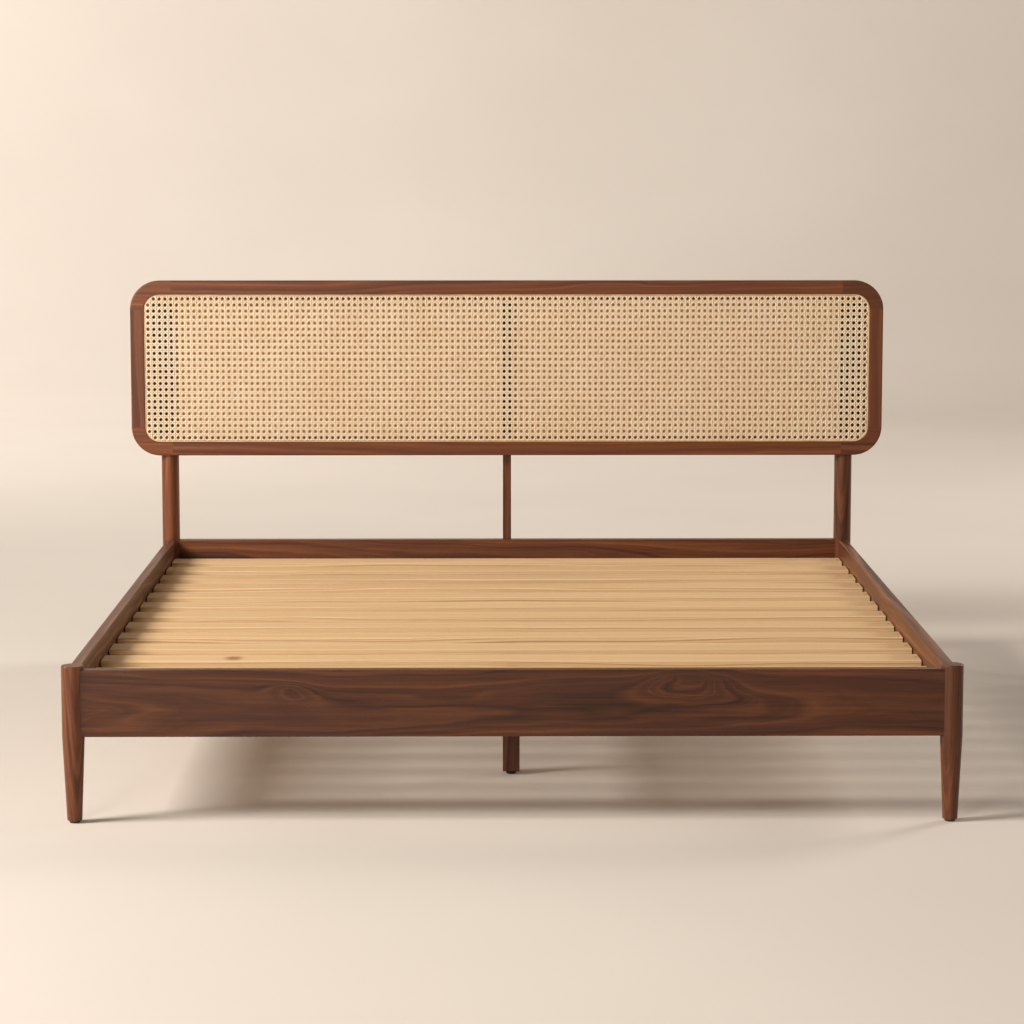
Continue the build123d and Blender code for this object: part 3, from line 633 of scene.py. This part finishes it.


# ---------------------------------------------------------------- finishes for the CAD nodes


# Each walnut board's grain axis, where its pith lies across the grain in metres, and how light it is.
# That last number is partly the board's own tone and partly painted light: the headboard boards, most of
# all those on the left, and the left post and leg are lighter as a painted sheen from the light on the
# left, the right-hand ones darker as painted shade, and the battens, the centre strut and the centre legs,
# in the shade behind the cane and under the bed, are darkened as painted shade.
WALNUT_BOARDS = {
    # Painted sheen: the headboard boards are lightened, most of all the left-hand ones, and the right-hand
    # corners are kept darker as painted shade
    "headboard_top_rail": ("X", (1.19, 1.08), 1.20),
    "headboard_bottom_rail": ("X", (0.52, 1.10), 1.20),
    "headboard_stile_left": ("Z", (-1.16, 1.09), 1.22),
    "headboard_stile_right": ("Z", (1.17, 1.10), 1.15),
    "headboard_corner_top_left": ("X", (1.20, 1.08), 1.45),
    "headboard_corner_top_right": ("X", (1.20, 1.10), 0.90),
    "headboard_corner_bottom_left": ("X", (0.50, 1.08), 1.45),
    "headboard_corner_bottom_right": ("X", (0.52, 1.09), 1.00),
    # Painted shade: the battens behind the cane are darkened to stand in for the shade there
    "batten_left": ("Z", (-1.0, 1.12), 0.40),
    "batten_middle": ("Z", (0.03, 1.12), 0.40),
    "batten_right": ("Z", (1.0, 1.12), 0.40),
    # Painted shade: the centre strut behind the cane is darkened
    "centre_strut": ("Z", (0.05, 1.15), 0.70),
    # Painted sheen and painted shade: the left post and leg are lighter, the right ones darker
    "rear_post_left": ("Z", (-1.02, 1.10), 1.35),
    "rear_post_right": ("Z", (1.02, 1.10), 0.85),
    "front_leg_left": ("Z", (-1.03, -0.98), 1.05),
    "front_leg_right": ("Z", (1.04, -0.98), 0.85),
    "head_rail": ("X", (0.27, 0.93), 1.00),
    "foot_rail": ("X", (0.265, -0.955), 0.68),
    "side_rail_left": ("Y", (0.28, -0.92), 1.00),
    "side_rail_right": ("Y", (0.26, 0.90), 0.95),
    "ledger_left": ("Y", (0.30, -0.90), 1.00),
    "ledger_right": ("Y", (0.22, 0.90), 1.00),
    "centre_beam": ("Y", (0.20, 0.08), 0.90),
    # Painted shade: the centre legs under the bed are darkened, the one at the foot most
    "centre_leg_foot": ("Z", (0.05, -0.60), 0.65),
    "centre_leg_middle": ("Z", (-0.05, 0.06), 0.80),
    "centre_leg_head": ("Z", (0.04, 0.60), 0.80),
}
FOOT_RAIL_KNOTS = (Knot(0.395, 0.318, 0.085, 0.032, 0.036), Knot(-0.50, 0.300, 0.045, 0.022, 0.020))
DOWEL_SEED = 40


def nodes_named(*starts):
    """The CAD nodes whose names start with one of some words, in order."""
    return sorted(name for name in NODES if name.startswith(starts))


def paint(material, *names):
    """Give CAD nodes a material."""
    for name in names:
        data = NODES[name].data
        data.materials.clear()
        data.materials.append(material)


def paint_walnut():
    """Give every walnut board a material of its own."""
    for seed, (name, (axis, pith, tone_and_painted_light)) in enumerate(WALNUT_BOARDS.items(), start=1):
        evenness = HEADBOARD_EVENNESS if name.startswith("headboard") else 1.0
        knots = FOOT_RAIL_KNOTS if name == "foot_rail" else ()
        paint(walnut(f"walnut_{name}", axis, seed, pith, tone_and_painted_light, evenness, knots), name)


def finish_cad_nodes():
    """Give every CAD node its material."""
    paint_walnut()
    for seed, name in enumerate(nodes_named("slat_"), start=1):
        paint(softwood(f"softwood_{name}", "X", seed), name)
    paint(softwood("beech", "Z", DOWEL_SEED), "dowels")
    paint(panel_ply(), "back_panel")
    paint(reed(), "cane_spline")
    paint(black_steel(), *nodes_named("corner_bracket", "beam_hangers"))
    zinc_plated = ("bracket_bolts", "headboard_bolts", "pan_screws", "wood_screws")
    paint(zinc_steel(), *nodes_named(*zinc_plated, "glide_stem"))
    paint(brass(), "threaded_inserts")
    paint(black_nylon(), *nodes_named("leg_glides", "glide_pad"))


# ---------------------------------------------------------------- stage, light and camera


PAPER_STOPS = [(0.35, (0.612, 0.552, 0.491)), (0.65, (0.642, 0.582, 0.520))]


def backdrop_material():
    """Warm pale paper, a little mottled."""
    s = Shader("pale_paper")
    mottle = s.noise(s.place, 0.45, 3.0)
    fine = s.noise(s.place, 220.0, 2.0)
    s.bump(fine, 0.06, 0.0006)
    return s.finish(Base_Color=s.ramp(mottle, PAPER_STOPS), Roughness=0.85, Specular_IOR_Level=0.15)


def backdrop_profile():
    """The (radius, height) points from the floor's edge, up the cove, to the top of the wall."""
    profile = [(FLOOR_RADIUS - FLAT_RING, 0.0)]
    for step in range(COVE_STEPS + 1):
        bend = step / COVE_STEPS * math.pi / 2
        out = FLOOR_RADIUS + COVE_RADIUS * math.sin(bend)
        profile.append((out, COVE_RADIUS * (1 - math.cos(bend))))
    profile.append((FLOOR_RADIUS + COVE_RADIUS, WALL_TOP))
    return profile


def backdrop():
    """A round floor that curves up into a wall all the way round, wide enough to hold every view."""
    profile = backdrop_profile()
    turns = [step / WALL_STEPS * 2 * math.pi for step in range(WALL_STEPS)]
    points = []
    for radius, z in profile:
        points += [(radius * math.cos(turn), radius * math.sin(turn), z) for turn in turns]
    faces = [tuple(range(WALL_STEPS))]
    for ring in range(0, (len(profile) - 1) * WALL_STEPS, WALL_STEPS):
        for step in range(WALL_STEPS):
            first, second = ring + step, ring + (step + 1) % WALL_STEPS
            faces.append((first, first + WALL_STEPS, second + WALL_STEPS, second))
    data = bpy.data.meshes.new("backdrop")
    data.from_pydata(points, [], faces)
    data.shade_smooth()
    data.materials.append(backdrop_material())
    stage = bpy.data.objects.new("backdrop", data)
    bpy.context.scene.collection.objects.link(stage)


def aim(thing, target):
    """Turn a light so that it shines at a target."""
    way = [t - p for t, p in zip(target, thing.location)]
    flat = math.hypot(way[0], way[1])
    thing.rotation_euler = (math.pi / 2 + math.atan2(way[2], flat), 0, -math.atan2(way[0], way[1]))


def area_light(name, place, target, size, power, colour):
    """A square soft light at a place, aimed at a target."""
    data = bpy.data.lights.new(name, "AREA")
    data.shape = "SQUARE"
    data.size = size
    data.energy = power
    data.color = colour
    light = bpy.data.objects.new(name, data)
    light.location = place
    aim(light, target)
    bpy.context.scene.collection.objects.link(light)


def lights():
    """A large soft light from the left, two weaker ones in front and behind, and one for the wall."""
    area_light("key", (-6.8, -2.85, 4.5), (3.5, -1.8, 0.3), 2.6, 1090, (1.0, 0.955, 0.90))
    area_light("front", (-2.7, -6.6, 1.9), (0.0, 0.0, 0.7), 1.6, 130, (1.0, 0.95, 0.90))
    area_light("back", (6.5, 3.6, 4.0), (0.0, 0.0, 0.5), 2.4, 260, (1.0, 0.95, 0.90))
    area_light("wall", (-5.0, 5.5, 6.5), (-0.8, 13.0, 2.8), 2.4, 770, (1.0, 0.96, 0.92))


def surround():
    """A faint warm light from everywhere."""
    world = bpy.data.worlds.new("surround")
    world.use_nodes = True
    shade = world.node_tree.nodes["Background"]
    shade.inputs["Color"].default_value = SURROUND_COLOUR
    shade.inputs["Strength"].default_value = SURROUND_STRENGTH
    bpy.context.scene.world = world


def camera():
    """The camera stands beyond the foot of the bed, at about standing height."""
    data = bpy.data.cameras.new("camera")
    data.lens = CAMERA_LENS
    data.sensor_width = CAMERA_SENSOR
    data.shift_y = CAMERA_SHIFT
    data.clip_end = CAMERA_REACH
    view = bpy.data.objects.new("camera", data)
    view.location = CAMERA_PLACE
    view.rotation_euler = (math.radians(90 - CAMERA_DOWN), 0, math.radians(-CAMERA_TURN))
    bpy.context.scene.collection.objects.link(view)
    bpy.context.scene.camera = view


finish_cad_nodes()
weave_cane(cane_skin())
backdrop()
lights()
surround()
camera()
bpy.context.scene.view_settings.view_transform = "Standard"
